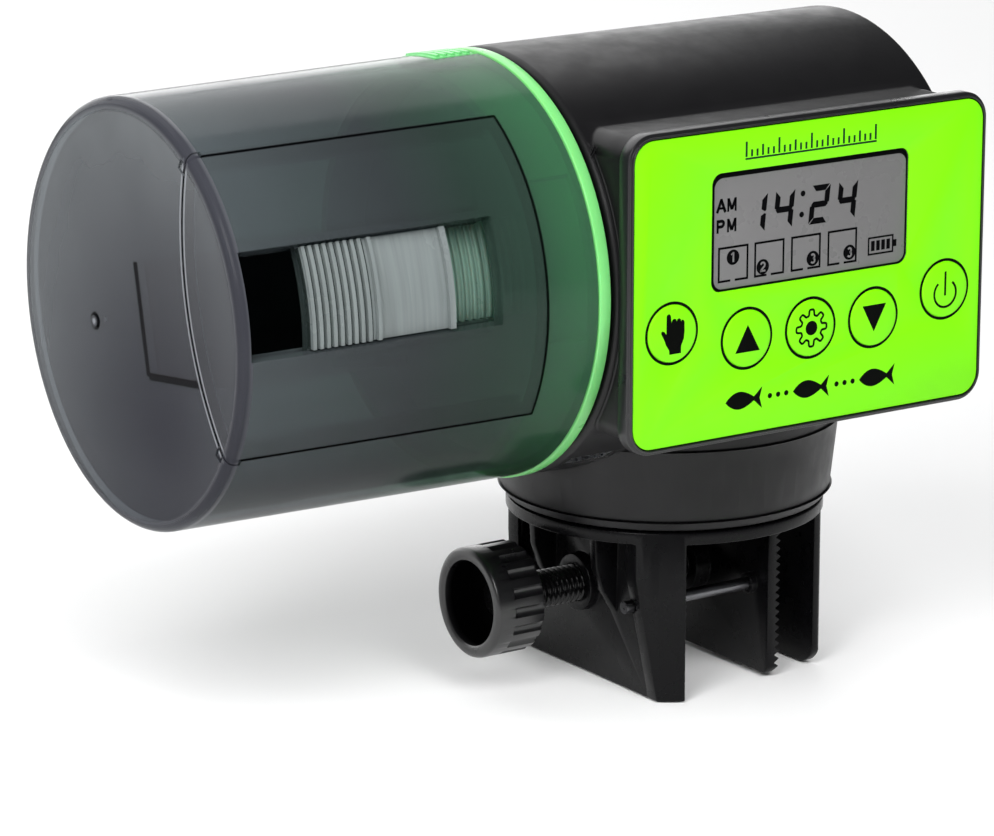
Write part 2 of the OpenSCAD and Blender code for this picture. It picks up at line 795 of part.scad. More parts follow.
module drum_collar() {
    color(green) {
        difference() {
            union() {
                tube_x(ring_x0, ring_w, collar_r, collar_r - 4.1);
                tube_x(sleeve_x0, sleeve_len, sleeve_r, sleeve_r - 1.8);
                rod_x(web_x0, ring_x0 - web_x0 + 0.1, sleeve_r - 1);
                rod_x(sleeve_x0, sleeve_len - 1.2, 6);
            }
            rod_x(sleeve_x0 - 1, 30, shaft_r);
            // Shallow bayonet recess, and the slot of the release tab
            arc_x(ring_x0 - 7.6, 7.6 - gap, sleeve_r - 0.6, collar_r, -10, 36);
            arc_x(tab_x0 + 2.6, 3.4, 26, collar_r, tab_mid - 4.6, tab_mid + 4.6);
        }
        // Ribbed tongue under the inner end of the dosing window
        arc_x(sleeve_x0, 2, 26.2, sleeve_r - 0.2, -3, 29);
        arc_x(tongue_x0, tongue_len + eps, 26.2, 27.2, -3, 29);
        for (k = [0:12]) arc_x(tongue_x0 + k * 1.35, 0.7, 27, 27.7, -2, 28);
    }
}

module release_tab() {
    color(green) {
        arc_x(tab_x0, tab_len, 32.7, tab_r, tab_mid - tab_half, tab_mid + tab_half);
        for (k = [0:4]) arc_x(tab_x0 + 0.5 + k * 1.4, 0.7, tab_r - 0.3, tab_r + 0.35,
            tab_mid - tab_half + 0.6, tab_mid + tab_half - 0.6);
        arc_x(tab_x0 + 3, 2.4, 28.9, 33, tab_mid - 4, tab_mid + 4);
        arc_x(catch_x0, catch_len, 28.4, 29.4, tab_mid - 5.5, tab_mid + 5.5);
    }
}

// End lip of the door, seen along the drum
module lip_2d(shrink, rim = 0) {
    intersection() {
        circle(drum_r + rim);
        translate([-sin(door_mid), -cos(door_mid)] * (drum_r - lip_depth + lip_r))
            circle(lip_r - shrink);
    }
}

// Rails with an inner lip that carry a flange between low and high
module rails(x, len, r_top, r_edge, r_lip, low, high, hold) {
    for (s = [0, 1]) {
        edge = s == 0 ? low - rail_play : high + rail_play;
        out = s == 0 ? edge - rail_wide : edge + rail_wide;
        in = s == 0 ? edge + hold : edge - hold;
        web = (edge + out) / 2;
        arc_x(x, len, r_lip, r_top, min(edge, out), max(edge, out));
        arc_x(x, len, r_lip + 0.15, r_edge, min(in, web), max(in, web));
    }
}

// Outer outline of the barrel, from its closed end along its length
function barrel_outline() = concat([[0, 0], [drum_r - round_r, 0]],
    [for (a = [15:15:75]) [drum_r - round_r * (1 - sin(a)), round_r * (1 - cos(a))]],
    [[drum_r, round_r], [drum_r + drum_draft, drum_len]]);

module drum_barrel() {
    low = door_mid - door_half;
    high = door_mid + door_half;
    color(smoke) {
        difference() {
            on_axis(barrel_x0) rotate_extrude() polygon(concat(barrel_outline(),
                [[bore_r + drum_draft, drum_len], [bore_r, end_wall], [0, end_wall]]));
            // Opening for the door, its flanges and its end lip
            arc_x(barrel_x0 - 1, door_len + 1 + gap, flange_r - flange_t - gap, drum_r + 3,
                low - 0.5, high + 0.5);
            arc_x(barrel_x0 - 1, end_wall + 2, flange_r - flange_t - gap - 0.2, bore_r,
                door_mid - flange_half - rail_play - 0.3, door_mid + flange_half + rail_play + 0.3);
            on_axis(barrel_x0 - 1) linear_extrude(end_wall + 1.5) lip_2d(0, 2);
            // Notch of the release tab
            arc_x(tab_x0 - 0.5, 20, 30, 38, tab_mid - tab_half - 0.8, tab_mid + tab_half + 0.8);
        }
        rails(barrel_x0 + end_wall - 0.4, door_len - end_wall, bore_r + 0.3,
            flange_r - flange_t - gap, flange_r - flange_t - gap - rail_t,
            door_mid - flange_half, door_mid + flange_half, rail_hold);
        // Dosing baffle on the end wall, and the mark of the moulding gate
        dose_baffle();
        on_axis(barrel_x0 - 0.25, [10.2, -2.8]) cylinder(h = 1, r = 1);
    }
}

// L-shaped wall that measures one portion behind the window
module dose_baffle() {
    corner = [-5.8, -8.1];
    top = [-2.3, 8.7];
    edge = [-27.2, -5.6];
    depth = 30;
    difference() {
        on_axis(barrel_x0 + end_wall - eps) linear_extrude(depth) {
            for (leg = [[corner, top], [corner, edge]])
                polygon(bar(yz_to_2d(leg[0]), yz_to_2d(leg[1]), 1));
            translate(yz_to_2d(corner)) circle(0.5);
        }
        // The door's end lip passes here
        on_axis(barrel_x0 + end_wall - 1) linear_extrude(1.6) lip_2d(-gap);
    }
}

// A point given by its Y and its height above the axis, in the plane of a revolved outline
function yz_to_2d(p) = [-p[1], p[0]];

// Straight bar of width w between two points
function bar(a, b, w) =
    let (d = (b - a) / norm(b - a), n = [-d[1], d[0]] * w / 2)
    [a + n, b + n, b - n, a - n];

module hopper_door() {
    low = door_mid - door_half;
    high = door_mid + door_half;
    color(smoke) {
        difference() {
            intersection() {
                union() {
                    arc_x(barrel_x0, door_len, flange_r - 0.1, drum_r, low, high, 1);
                    for (s = [-1, 1]) {
                        a = door_mid + s * flange_half;
                        b = door_mid + s * (door_half - 1.8);
                        arc_x(barrel_x0, door_len - 0.6, flange_r - flange_t, flange_r, min(a, b), max(a, b));
                    }
                    on_axis(barrel_x0) linear_extrude(end_wall) lip_2d(gap);
                }
                on_axis(barrel_x0) rotate_extrude() polygon(concat(barrel_outline(), [[0, drum_len]]));
            }
            // The dosing window
            arc_x(win_x0, win_len, 20, 40, win_low, win_high);
        }
        rails(win_x0 + 0.2, win_len, flange_r, slide_r - slide_t - gap,
            slide_r - slide_t - gap - rail_t, win_low - slide_side, win_high + slide_side, rail_hold);
    }
}

module dose_slider() {
    ridge_zone = 11;
    color([0.62, 0.66, 0.66, 0.8]) {
        arc_x(slider_x0, slider_len, slide_r - slide_t, slide_r, win_low - slide_side, win_high + slide_side);
        arc_x(slider_x0, slider_len, slide_r - 0.1, 31.8, win_low + 0.5, win_high - 0.5);
        for (k = [0:8]) arc_x(slider_x0 + 0.2 + k * 1.2, 0.6, 31.7, 32.4, win_low + 0.5, win_high - 0.5);
        arc_x(slider_x0 + slider_len - 1, 1, 31.7, 32.6, win_low + 0.5, win_high - 0.5);
        arc_x(slider_x0 + ridge_zone + 0.4, 0.6, 31.7, 32.6, win_low + 0.5, win_high - 0.5);
    }
}

clamp_bracket();
clamp_jaw();
guide_rods();
clamp_screw();
screw_clip();
clamp_knob();
swivel_washer();
swivel_screw();
main_housing();
end_cap();
end_cap_screws();
power_socket();
front_bezel();
bezel_screws();
faceplate();
lcd_glass();
lcd_holder();
circuit_board();
board_screws();
key_switches();
feed_button();
up_button();
set_button();
down_button();
power_button();
battery_tray();
battery_contacts();
battery_springs();
battery_cells();
battery_cover();
cover_contact();
gearbox_plate();
gearbox_screws();
gear_pins();
motor();
motor_screws();
motor_shaft();
motor_pinion();
second_gear();
first_gear();
output_gear();
drive_shaft();
shaft_bush();
drum_collar();
release_tab();
drum_barrel();
hopper_door();
dose_slider();
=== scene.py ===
import json
import math

import bmesh
import bpy
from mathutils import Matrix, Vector
from mathutils.bvhtree import BVHTree


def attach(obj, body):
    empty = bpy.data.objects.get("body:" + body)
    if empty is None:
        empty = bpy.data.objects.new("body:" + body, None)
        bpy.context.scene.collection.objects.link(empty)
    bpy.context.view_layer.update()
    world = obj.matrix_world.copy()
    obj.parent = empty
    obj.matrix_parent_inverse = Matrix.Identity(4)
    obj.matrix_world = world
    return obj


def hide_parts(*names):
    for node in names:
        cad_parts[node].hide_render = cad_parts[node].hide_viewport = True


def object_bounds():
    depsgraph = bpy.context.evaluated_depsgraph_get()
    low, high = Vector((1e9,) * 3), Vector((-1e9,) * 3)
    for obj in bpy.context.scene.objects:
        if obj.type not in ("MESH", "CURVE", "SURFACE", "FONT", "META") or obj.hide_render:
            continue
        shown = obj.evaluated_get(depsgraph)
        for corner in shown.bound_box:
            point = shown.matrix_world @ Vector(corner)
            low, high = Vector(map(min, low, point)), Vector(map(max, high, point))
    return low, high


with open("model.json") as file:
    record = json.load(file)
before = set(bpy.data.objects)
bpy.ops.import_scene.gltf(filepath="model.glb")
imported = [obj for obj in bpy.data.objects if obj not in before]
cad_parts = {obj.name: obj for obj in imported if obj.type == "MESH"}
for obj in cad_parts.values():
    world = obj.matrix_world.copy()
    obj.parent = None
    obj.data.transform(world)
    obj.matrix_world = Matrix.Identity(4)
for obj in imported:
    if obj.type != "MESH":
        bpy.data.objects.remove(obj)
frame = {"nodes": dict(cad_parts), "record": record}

MM = 0.001

# The drum as its materials see it, in metres: X along it, Y and height above its axis across it
AXIS_H = 0.0446       # height of the drum's axis
BARREL_X = -0.0996    # closed end of the drum
END_FACE_X = -0.0977  # inner side of the drum's end face
DRUM_R = 0.033
WALL_IN_R = 0.0295    # inner side of the drum's wall
SLEEVE_IN_R = 0.0300  # inner radius of the collar's sleeve
BAFFLE_R = 0.0283     # the baffle's walls stay inside this radius
DOOR_END_X = -0.0466
DOOR_MID, DOOR_HALF = math.radians(13.0), math.radians(42.3)
LIP_AT, LIP_R = (-0.06626, 0.0153), 0.050  # curve of the door's end lip
GATE_AT = (0.0102, -0.0028)                # middle of the mould's gate mark on the end face
# Walls of the portion corner: middle, direction and half length
CORNER_WALLS = (
    ((-0.00405, 0.0003), (0.204, 0.979), 0.0086),
    ((-0.0165, -0.00685), (0.993, -0.116), 0.0107),
)

# The clamp's screw and knob, in millimetres
SCREW_Z, SCREW_R = -10.8, 3.1
KNOB_X, KNOB_R = -38.7, 9.0
KNOB_END = KNOB_X + 9.0
CUP_FLOOR, CUP_R = KNOB_X + 5.0, 6.9

NODES = frame["nodes"]
cad_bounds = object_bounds()

# ---------- Material nodes ----------


class Shader:
    """A material's node tree, built with keyword sockets."""

    def __init__(self, name):
        self.material = bpy.data.materials.new(name)
        self.material.use_nodes = True
        self.tree = self.material.node_tree
        self.tree.nodes.clear()
        self.out = self.tree.nodes.new("ShaderNodeOutputMaterial")

    def add(self, kind, settings=None, **sockets):
        node = self.tree.nodes.new("ShaderNode" + kind)
        for key, value in (settings or {}).items():
            setattr(node, key, value)
        for key, value in sockets.items():
            self.put(node.inputs[key.replace("_", " ")], value)
        return node

    def put(self, socket, value):
        if isinstance(value, bpy.types.NodeSocket):
            self.tree.links.new(value, socket)
        elif isinstance(value, (tuple, list)) and len(value) == 3 and socket.type == "RGBA":
            socket.default_value = (*value, 1.0)
        else:
            socket.default_value = value

    def object_coords(self, stretch=None):
        coords = self.add("TexCoord").outputs["Object"]
        if stretch is None:
            return coords
        return self.add("Mapping", Vector=coords, Scale=stretch).outputs["Vector"]

    def noise(self, scale, detail=3.0, stretch=None):
        coords = self.object_coords(stretch)
        return self.add(
            "TexNoise", Vector=coords, Scale=scale, Detail=detail, Roughness=0.55
        ).outputs["Fac"]

    def ramp(self, value, low, high, lo_in=0.3, hi_in=0.7):
        node = self.add("MapRange", Value=value)
        for key, number in zip(("From Min", "From Max", "To Min", "To Max"), (lo_in, hi_in, low, high)):
            node.inputs[key].default_value = number
        return node.outputs["Result"]

    def math(self, operation, a, b=0.0):
        node = self.add("Math", {"operation": operation})
        self.put(node.inputs[0], a)
        self.put(node.inputs[1], b)
        return node.outputs[0]

    def plus(self, a, b):
        return self.math("ADD", a, b)

    def minus(self, a, b):
        return self.math("SUBTRACT", a, b)

    def below(self, a, b):
        return self.math("LESS_THAN", a, b)

    def above(self, a, b):
        return self.math("GREATER_THAN", a, b)

    def distance(self, a, b):
        return self.math("SQRT", self.plus(self.math("POWER", a, 2.0), self.math("POWER", b, 2.0)))

    def near(self, value, target, half):
        """1 where value is within half of target, with a soft edge."""
        off = self.math("ABSOLUTE", self.minus(value, target))
        return self.ramp(off, 1.0, 0.0, 0.75 * half, 1.25 * half)

    def both(self, a, b):
        return self.math("MULTIPLY", a, b)

    def either(self, a, b):
        return self.math("MAXIMUM", a, b)

    def blend(self, factor, a, b):
        node = self.add("Mix", {"data_type": "RGBA"})
        self.put(node.inputs["Factor"], factor)
        self.put(node.inputs[6], a)
        self.put(node.inputs[7], b)
        return node.outputs[2]

    def mix(self, factor, a, b):
        node = self.tree.nodes.new("ShaderNodeMixShader")
        self.put(node.inputs[0], factor)
        self.put(node.inputs[1], a.outputs[0])
        self.put(node.inputs[2], b.outputs[0])
        return node

    def grain(self, scale, depth):
        bump = self.add("Bump", Height=self.noise(scale, 2.0), Strength=1.0, Distance=depth)
        return bump.outputs["Normal"]

    def finish(self, shader):
        self.tree.links.new(shader.outputs[0], self.out.inputs["Surface"])
        return self.material


def shade(colour, factor):
    return tuple(min(1.0, c * factor) for c in colour)


def moulded(name, colour, rough=0.4, grain=4200.0, depth=0.000004, vary=0.12, shine=0.5):
    """Moulded plastic: cloudy colour, uneven gloss and a fine spark-eroded grain."""
    s = Shader(name)
    cloud = s.ramp(s.noise(70.0, 4.0), 0.0, 1.0)
    base = s.blend(cloud, shade(colour, 1 - vary), shade(colour, 1 + vary))
    gloss = s.ramp(s.noise(240.0, 3.0), rough - 0.06, rough + 0.06)
    body = s.add("BsdfPrincipled", Base_Color=base, Roughness=gloss, Normal=s.grain(grain, depth),
                 Specular_IOR_Level=shine)
    return s.finish(body)


def metal(name, colour, rough, brushed=(1.0, 1.0, 1.0)):
    """Drawn or plated metal with fine scratches along one direction."""
    s = Shader(name)
    scratch = s.noise(1500.0, 4.0, stretch=brushed)
    base = s.blend(s.ramp(s.noise(180.0), 0.0, 1.0), shade(colour, 0.85), shade(colour, 1.1))
    body = s.add(
        "BsdfPrincipled",
        Base_Color=base,
        Roughness=s.ramp(scratch, rough - 0.1, rough + 0.12),
        Metallic=1.0,
        Normal=s.add("Bump", Height=scratch, Distance=0.000004).outputs["Normal"],
    )
    return s.finish(body)


# Lines of the drum, by their middle and half width: beside the door in radians, the rest in metres
SIDE_LINE = (0.0044, 0.0085)
END_LINE = (DOOR_END_X + 0.00015, 0.00028)
LIP_LINE = (LIP_R - 0.00015, 0.0002)
# The glints are painted highlights
LIP_GLINTS = ((LIP_R - 0.0007, 0.00022), (LIP_R + 0.0004, 0.00022))
WALL_LINE = (0.0, 0.00068)
GATE_LINE, GATE_GLINT = (0.00115, 0.0003), (0.0, 0.0005)
RIM_SHADE_FADE = (0.0012, 0.0016)  # distance from the drum's outer corner at which the painted shade of the rim ends


def drum_marks(s, x, y, up, reach, walls):
    """Dark lines and painted highlights of the drum: the door's outline, painted shade on the end's rim,
    the lip and what shows through the end.
    """
    turn = s.math("ARCTAN2", up, s.math("MULTIPLY", y, -1.0))
    beside = s.minus(s.math("ABSOLUTE", s.minus(turn, DOOR_MID)), DOOR_HALF)
    sides = s.both(s.near(beside, *SIDE_LINE), s.below(x, DOOR_END_X + 0.0003))
    end = s.both(s.near(x, *END_LINE), s.below(beside, 0.009))
    dark = s.both(s.either(sides, end), s.above(reach, WALL_IN_R))
    corner = s.plus(s.minus(x, BARREL_X), s.minus(DRUM_R, reach))
    # Painted shade on the rounded rim of the closed end
    dark = s.either(dark, s.ramp(corner, 0.85, 0.0, *RIM_SHADE_FADE))

    # The door's end lip is a dark line between two painted highlights
    on_end = s.below(x, END_FACE_X)
    face = s.both(on_end, s.below(reach, DRUM_R - 0.001))
    off_lip = s.distance(s.minus(y, LIP_AT[0]), s.minus(up, LIP_AT[1]))
    pale = s.both(s.either(*(s.near(off_lip, *glint) for glint in LIP_GLINTS)), face)
    dark = s.either(dark, s.both(s.near(off_lip, *LIP_LINE), face))
    if walls:
        for middle, way, half in CORNER_WALLS:
            dy, dz = s.minus(y, middle[0]), s.minus(up, middle[1])
            along = s.plus(s.both(dy, way[0]), s.both(dz, way[1]))
            across = s.minus(s.both(dz, way[0]), s.both(dy, way[1]))
            wall = s.both(s.below(s.math("ABSOLUTE", along), half), s.near(across, *WALL_LINE))
            dark = s.either(dark, s.both(on_end, wall))
        off_gate = s.distance(s.minus(y, GATE_AT[0]), s.minus(up, GATE_AT[1]))
        dark = s.either(dark, s.both(on_end, s.near(off_gate, *GATE_LINE)))
        # A painted highlight in the middle of the gate mark
        pale = s.either(pale, s.both(on_end, s.near(off_gate, *GATE_GLINT)))
    return dark, pale, on_end


# Smoke plastic: what one face lets through, what it scatters, and how much of a face seen
# square on is that haze
SMOKE_TINT, SMOKE_HAZE, SMOKE_COVER = (0.36, 0.39, 0.41), (0.062, 0.073, 0.078), 0.34
# The same near the green collar, and the X between which it sets in
RING_TINT, RING_HAZE, RING_FADE = (0.52, 0.76, 0.60), (0.070, 0.160, 0.108), (-0.070, -0.040)
END_LIGHT_FADE = (-0.100, -0.052)  # X between which the painted light towards the closed end fades out
UNDERSIDE_FADE = (-0.031, -0.012)   # height between which the painted shade of the underside ends
END_SHADE_OFF = (0.009, 0.016)    # how far the most shaded spot of the end face's painted light is off the axis, to -Y and down
# Painted light of the end face: its colour at the shaded spot, far from it, and in its random clouds
END_SHADED, END_LIT, END_CLOUD = (0.034, 0.034, 0.048), (0.270, 0.285, 0.297), (0.03, 0.03, 0.04)
# Painted shade of the underside, and the haze at a grazing edge
UNDERSIDE_SHADE, EDGE_HAZE = (0.008, 0.009, 0.010), (0.012, 0.013, 0.015)
# Colours of the dark lines, the painted highlights and the painted shade of the walls inside the end
LINE, GLINT, BAFFLE_SHADE = (0.005, 0.005, 0.006), (0.20, 0.21, 0.23), (0.006, 0.006, 0.007)
SOLID_WALL, SOLID_FADE = (0.034, 0.035, 0.044), (0.0306, 0.0314)  # and the radius at which it sets in


def smoke(name, green, baffle=False):
    """Smoke-tinted clear plastic of the drum, with the green of the collar near it and painted light and
    shade.
    """
    s = Shader(name)
    lay = s.add("LayerWeight", Blend=0.42).outputs["Facing"]
    spot = s.add("SeparateXYZ", Vector=s.object_coords())
    x, y = spot.outputs["X"], spot.outputs["Y"]
    up = s.minus(spot.outputs["Z"], AXIS_H)
    reach = s.distance(y, up)
    near_ring = s.ramp(x, 0.0, green, *RING_FADE)
    cloud = s.ramp(s.noise(40.0, 3.0), 0.0, 1.0)
    # Painted light and shade: more haze towards the end face, and darker low down
    inward = s.ramp(s.plus(x, s.both(cloud, 0.006)), 0.0, 1.0, *END_LIGHT_FADE)
    scatter = s.blend(inward, shade(SMOKE_HAZE, 1.95), shade(SMOKE_HAZE, 0.55))
    scatter = s.blend(near_ring, scatter, RING_HAZE)
    # Painted shade: darker and less glossy low down
    low = s.ramp(up, 1.0, 0.0, *UNDERSIDE_FADE)
    scatter = s.blend(s.both(low, 0.8), scatter, UNDERSIDE_SHADE)
    # The path through the wall is longer at an edge, so less of the haze shows there
    scatter = s.blend(s.ramp(lay, 0.0, 0.85, 0.35, 0.9), scatter, EDGE_HAZE)
    passed = s.blend(near_ring, SMOKE_TINT, RING_TINT)
    opaque = s.plus(SMOKE_COVER, s.both(0.95 - SMOKE_COVER, s.math("POWER", lay, 2.6)))
    dark, pale, on_end = drum_marks(s, x, y, up, reach, baffle)
    # Painted light and shade on the end face: darker low on the door's side, lighter away from there
    far = s.distance(s.plus(y, END_SHADE_OFF[0]), s.plus(up, END_SHADE_OFF[1]))
    end_lit_share = s.math("POWER", s.ramp(far, 0.0, 1.0, 0.0, 0.047), 1.6)
    end = s.blend(s.both(cloud, 0.25), s.blend(end_lit_share, END_SHADED, END_LIT), END_CLOUD)
    scatter = s.blend(on_end, scatter, end)
    # Dark lines, painted shade on the rim and painted highlights over the haze
    scatter = s.blend(s.both(pale, 0.7), s.blend(dark, scatter, LINE), GLINT)
    opaque = s.either(opaque, s.both(s.either(dark, pale), 0.9))
    # The solid wall seen end on
    wall = s.both(on_end, s.ramp(reach, 0.0, 1.0, *SOLID_FADE))
    scatter = s.blend(s.both(wall, 0.8), scatter, SOLID_WALL)
    opaque = s.either(opaque, s.both(wall, 0.85))
    # Less reflection on the dark lines, the end face and the painted shade low down
    matt = s.either(dark, s.either(s.both(on_end, 0.5), s.both(low, 0.8)))
    if baffle:
        # Painted shade: the walls inside the end face are near black, for the unlit inside of the drum
        within = s.both(s.below(reach, BAFFLE_R), s.above(x, END_FACE_X))
        scatter = s.blend(within, scatter, BAFFLE_SHADE)
        opaque = s.either(opaque, s.both(within, 0.93))
    through = s.add("BsdfTransparent", Color=passed)
    body = s.add(
        "BsdfPrincipled",
        Base_Color=scatter,
        Roughness=s.ramp(s.noise(130.0, 3.0), 0.13, 0.20),
        IOR=1.5,
        Specular_IOR_Level=s.ramp(matt, 0.33, 0.02, 0.0, 1.0),
    )
    return s.finish(s.mix(opaque, through, body))


# Ridges of the dosing slider: X of the first and their pitch in metres, where the groove lies as
# a share of the pitch, and how many there are
RIDGE_X, RIDGE_PITCH, RIDGE_GAP, RIDGES = -0.0871, 0.0012, 0.75, 9.0


def frost(name, pale, groove):
    """Cloudy plastic of the slider: painted shade in the grooves between its ridges, and faint marks of the
    mould.
    """
    s = Shader(name)
    x = s.add("SeparateXYZ", Vector=s.object_coords()).outputs["X"]
    step = s.math("DIVIDE", s.minus(x, RIDGE_X), RIDGE_PITCH)
    # Painted shade in the grooves between the ridges
    groove_shade = s.both(s.near(s.math("FRACT", step), RIDGE_GAP, 0.2), s.below(step, RIDGES))
    streaks = s.ramp(s.noise(34.0, 4.0, stretch=(30.0, 1.0, 1.0)), 0.0, 0.5)
    base = s.blend(groove_shade, s.blend(streaks, pale, shade(pale, 0.55)), groove)
    through = s.add("BsdfTransparent", Color=(0.60, 0.66, 0.66))
    body = s.add("BsdfPrincipled", Base_Color=base, Roughness=s.ramp(s.noise(130.0, 3.0), 0.2, 0.3),
                 Specular_IOR_Level=0.4)
    return s.finish(s.mix(0.72, through, body))


def collar(name, colour):
    """Green plastic with painted shade: its tongue, deep inside the drum, and the inside of its sleeve are
    painted dark grey-green.
    """
    s = Shader(name)
    spot = s.add("SeparateXYZ", Vector=s.object_coords())
    cloud = s.ramp(s.noise(70.0, 4.0), 0.0, 1.0)
    base = s.blend(cloud, shade(colour, 0.93), shade(colour, 1.07))
    reach = s.distance(spot.outputs["Y"], s.minus(spot.outputs["Z"], AXIS_H))
    # Painted shade on the tongue and inside the sleeve
    inside_shade = s.either(s.ramp(spot.outputs["X"], 1.0, 0.0, -0.0468, -0.0455), s.below(reach, SLEEVE_IN_R))
    base = s.blend(inside_shade, base, (0.12, 0.20, 0.16))
    body = s.add(
        "BsdfPrincipled",
        Base_Color=base,
        Roughness=s.ramp(s.noise(240.0, 3.0), 0.26, 0.36),
        Normal=s.grain(4200.0, 0.000002),
        Subsurface_Weight=0.12,
        Subsurface_Scale=0.004,
    )
    return s.finish(body)


def knob_black(name, colour):
    """Black plastic with painted shade: dead black and matt inside the knob's cup."""
    s = Shader(name)
    spot = s.add("SeparateXYZ", Vector=s.object_coords())
    reach = s.distance(spot.outputs["Y"], s.minus(spot.outputs["Z"], SCREW_Z * MM))
    inward = s.ramp(spot.outputs["X"], 0.0, 1.0, (KNOB_X + 0.1) * MM, (KNOB_X + 1.5) * MM)
    # Painted shade inside the cup
    cup_shade = s.both(s.below(reach, (CUP_R + 0.05) * MM), inward)
    cloud = s.ramp(s.noise(70.0, 4.0), 0.0, 1.0)
    base = s.blend(cloud, shade(colour, 0.88), shade(colour, 1.12))
    body = s.add(
        "BsdfPrincipled",
        Base_Color=s.blend(cup_shade, base, (0.0006, 0.0006, 0.0007)),
        Roughness=s.ramp(s.noise(240.0, 3.0), 0.26, 0.36),
        Specular_IOR_Level=s.ramp(cup_shade, 0.75, 0.02, 0.0, 1.0),
        Normal=s.grain(2600.0, 0.000006),
    )
    return s.finish(body)


BLACK = (0.0048, 0.0046, 0.0052)
LIME = (0.186, 0.79, 0.001)
FILM = {"rough": 0.45, "grain": 6000.0, "depth": 0.000001, "vary": 0.02, "shine": 0.2}
LOOKS = {
    "housing": moulded("housing_black", BLACK, 0.42, shine=0.3),
    "gloss": moulded("clamp_black", (0.0026, 0.0025, 0.0030), 0.28, depth=0.000002, shine=0.15),
    "bezel": moulded("bezel_black", (0.008, 0.008, 0.009), 0.32, shine=0.5),
    "knob": knob_black("knob_black", (0.0040, 0.0039, 0.0044)),
    "thread": moulded("thread_black", (0.0030, 0.0029, 0.0032), 0.25, shine=0.35),
    "smoke": smoke("smoke_clear", 0.9, baffle=True),
    "door": smoke("door_clear", 0.6),
    "slider": frost("slider_frost", (0.235, 0.265, 0.265), (0.020, 0.028, 0.026)),
    "green": collar("collar_green", (0.150, 0.51, 0.150)),
    "tab": moulded("tab_green", (0.11, 0.46, 0.14), 0.3, depth=0.000002, vary=0.08),
    "lime": moulded("film_lime", LIME, **FILM),
    "key": moulded("key_lime", LIME, **FILM),
    "ink": moulded("print_ink", (0.0016, 0.002, 0.0016), 0.5, vary=0.2, shine=0.03),
    "ink_green": moulded("title_ink", (0.005, 0.030, 0.010), 0.5, vary=0.2, shine=0.1),
    "lcd": moulded("lcd_grey", (0.145, 0.143, 0.145), 0.3, grain=9000.0, depth=0.0000005, vary=0.01,
                   shine=0.25),
    "segment": moulded("lcd_segment", (0.0016, 0.0016, 0.002), 0.5, vary=0.2, shine=0.02),
    "holder": moulded("holder_white", (0.70, 0.70, 0.67), 0.5),
    "gear": moulded("gear_white", (0.74, 0.73, 0.69), 0.42),
    "steel": metal("steel_plated", (0.55, 0.56, 0.58), 0.28),
    "dark_steel": metal("steel_dark", (0.16, 0.16, 0.17), 0.34, (0.08, 1.0, 1.0)),
    "brass": metal("brass_bush", (0.70, 0.52, 0.22), 0.35),
    "board": moulded("board_green", (0.02, 0.13, 0.05), 0.35, grain=1500.0, depth=0.00001),
    "cell": moulded("cell_wrap", (0.03, 0.09, 0.30), 0.3),
}

# What each CAD node is made of
NODE_LOOK = {
    "clamp_bracket": "gloss", "clamp_jaw": "gloss", "guide_rods": "dark_steel",
    "clamp_screw": "thread", "screw_clip": "steel", "clamp_knob": "knob",
    "swivel_washer": "steel", "swivel_screw": "steel",
    "main_housing": "housing", "end_cap": "housing", "end_cap_screws": "dark_steel",
    "power_socket": "steel", "front_bezel": "bezel", "bezel_screws": "steel",
    "faceplate": "lime", "lcd_glass": "lcd", "lcd_holder": "holder",
    "circuit_board": "board", "board_screws": "steel", "key_switches": "gloss",
    "feed_button": "key", "up_button": "key", "set_button": "key", "down_button": "key",
    "power_button": "key", "battery_tray": "gloss", "battery_contacts": "steel",
    "battery_springs": "steel", "battery_cells": "cell", "battery_cover": "housing",
    "cover_contact": "steel", "gearbox_plate": "gear", "gearbox_screws": "steel",
    "gear_pins": "steel", "motor": "steel", "motor_screws": "steel",
    "motor_shaft": "steel", "motor_pinion": "brass", "second_gear": "gear",
    "first_gear": "gear", "output_gear": "gear", "drive_shaft": "steel",
    "shaft_bush": "brass", "drum_collar": "green", "release_tab": "tab",
    "drum_barrel": "smoke", "hopper_door": "door", "dose_slider": "slider",
}


def dress(obj, look):
    obj.data.materials.clear()
    obj.data.materials.append(LOOKS[look])


for node_name, look_name in NODE_LOOK.items():
    dress(NODES[node_name], look_name)

BODY_OF = {n: body for body, names in frame["record"]["behaviour"]["bodies"].items() for n in names}

# ---------- Mesh helpers, in millimetres ----------


def smooth(mesh, angle):
    for polygon in mesh.polygons:
        polygon.use_smooth = True
    mesh.set_sharp_from_angle(angle=math.radians(angle))


def piece(name, bm, look, node, replaces=False, angle=35.0):
    """Makes an object of bm, riding on the body of a CAD node; if it replaces that node, the node is
    hidden.
    """
    mesh = bpy.data.meshes.new(name)
    bmesh.ops.recalc_face_normals(bm, faces=bm.faces)
    bm.to_mesh(mesh)
    bm.free()
    smooth(mesh, angle)
    obj = bpy.data.objects.new(name, mesh)
    bpy.context.scene.collection.objects.link(obj)
    dress(obj, look)
    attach(obj, BODY_OF[node])
    if replaces:
        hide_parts(node)
    return obj


SHARP = math.radians(38.0)  # edges that turn more than this are rounded over


